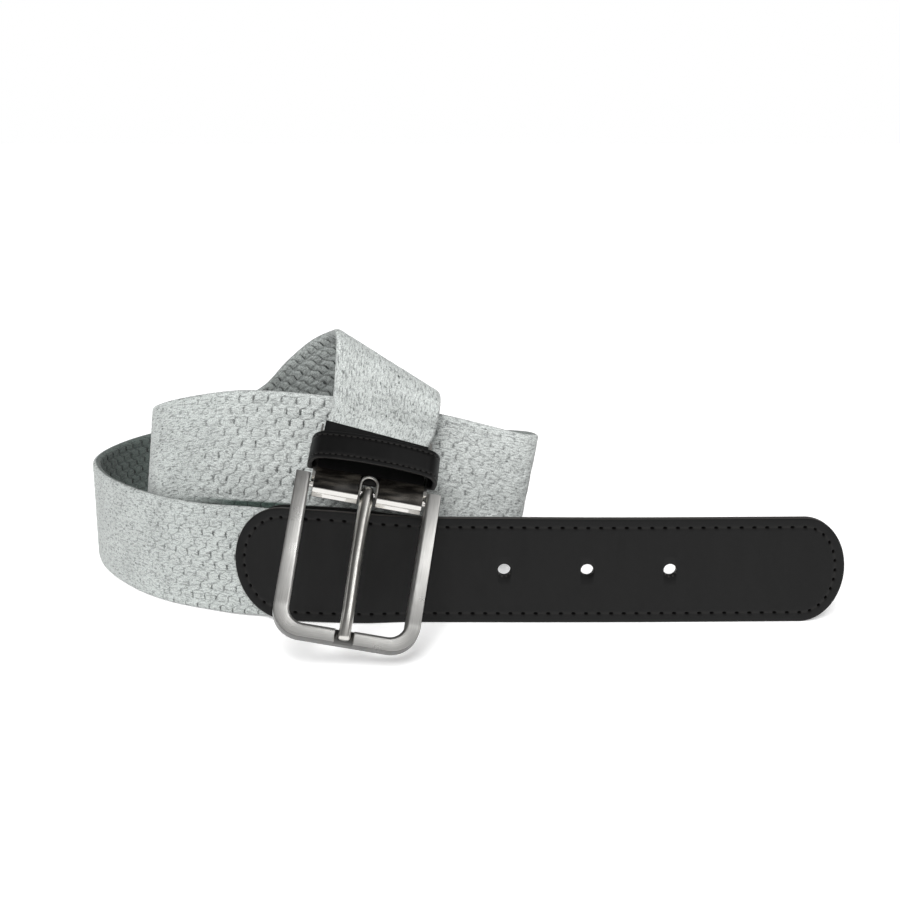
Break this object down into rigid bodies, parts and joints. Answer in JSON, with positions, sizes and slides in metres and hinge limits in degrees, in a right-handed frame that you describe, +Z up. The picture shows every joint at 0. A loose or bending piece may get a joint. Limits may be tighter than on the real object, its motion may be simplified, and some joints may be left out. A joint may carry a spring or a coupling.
{
  "type": "braided stretch belt",
  "caption": "Braided stretch belt with a stitched leather tip, a leather keeper and a hinged clamp buckle, standing on its edge in a loose coil.",
  "frame": {"origin": "middle of the belt's footprint, at its lowest plane", "axes": "+X along the leather tip towards its nose, +Y away from the viewer of the picture, +Z up"},
  "size_m": [0.2942, 0.182, 0.1012],
  "materials": {
    "webbing": "braided, matt",
    "leather": "smooth, satin",
    "polished": "polished",
    "brushed": "brushed"
  },
  "bodies": {
    "belt": {"webbing": "webbing", "tip_front": "leather", "tip_back": "leather", "clamp": "polished", "chape": "leather", "keeper": "leather"},
    "buckle": {"buckle_frame": "brushed", "axle": "polished"},
    "prong_body": {"prong": "brushed"}
  },
  "joints": [
    {"name": "buckle_hinge", "type": "hinge", "parent": "belt", "child": "buckle", "pos_m": [-0.02518, -0.04725, 0.0487], "axis": [-0.9781, -0.0461, 0.2028], "range_deg": [0, 55]},
    {"name": "prong_hinge", "type": "hinge", "parent": "buckle", "child": "prong_body", "pos_m": [-0.02518, -0.04725, 0.0487], "axis": [-0.9781, -0.0461, 0.2028], "range_deg": [0, 45]}
  ]
}
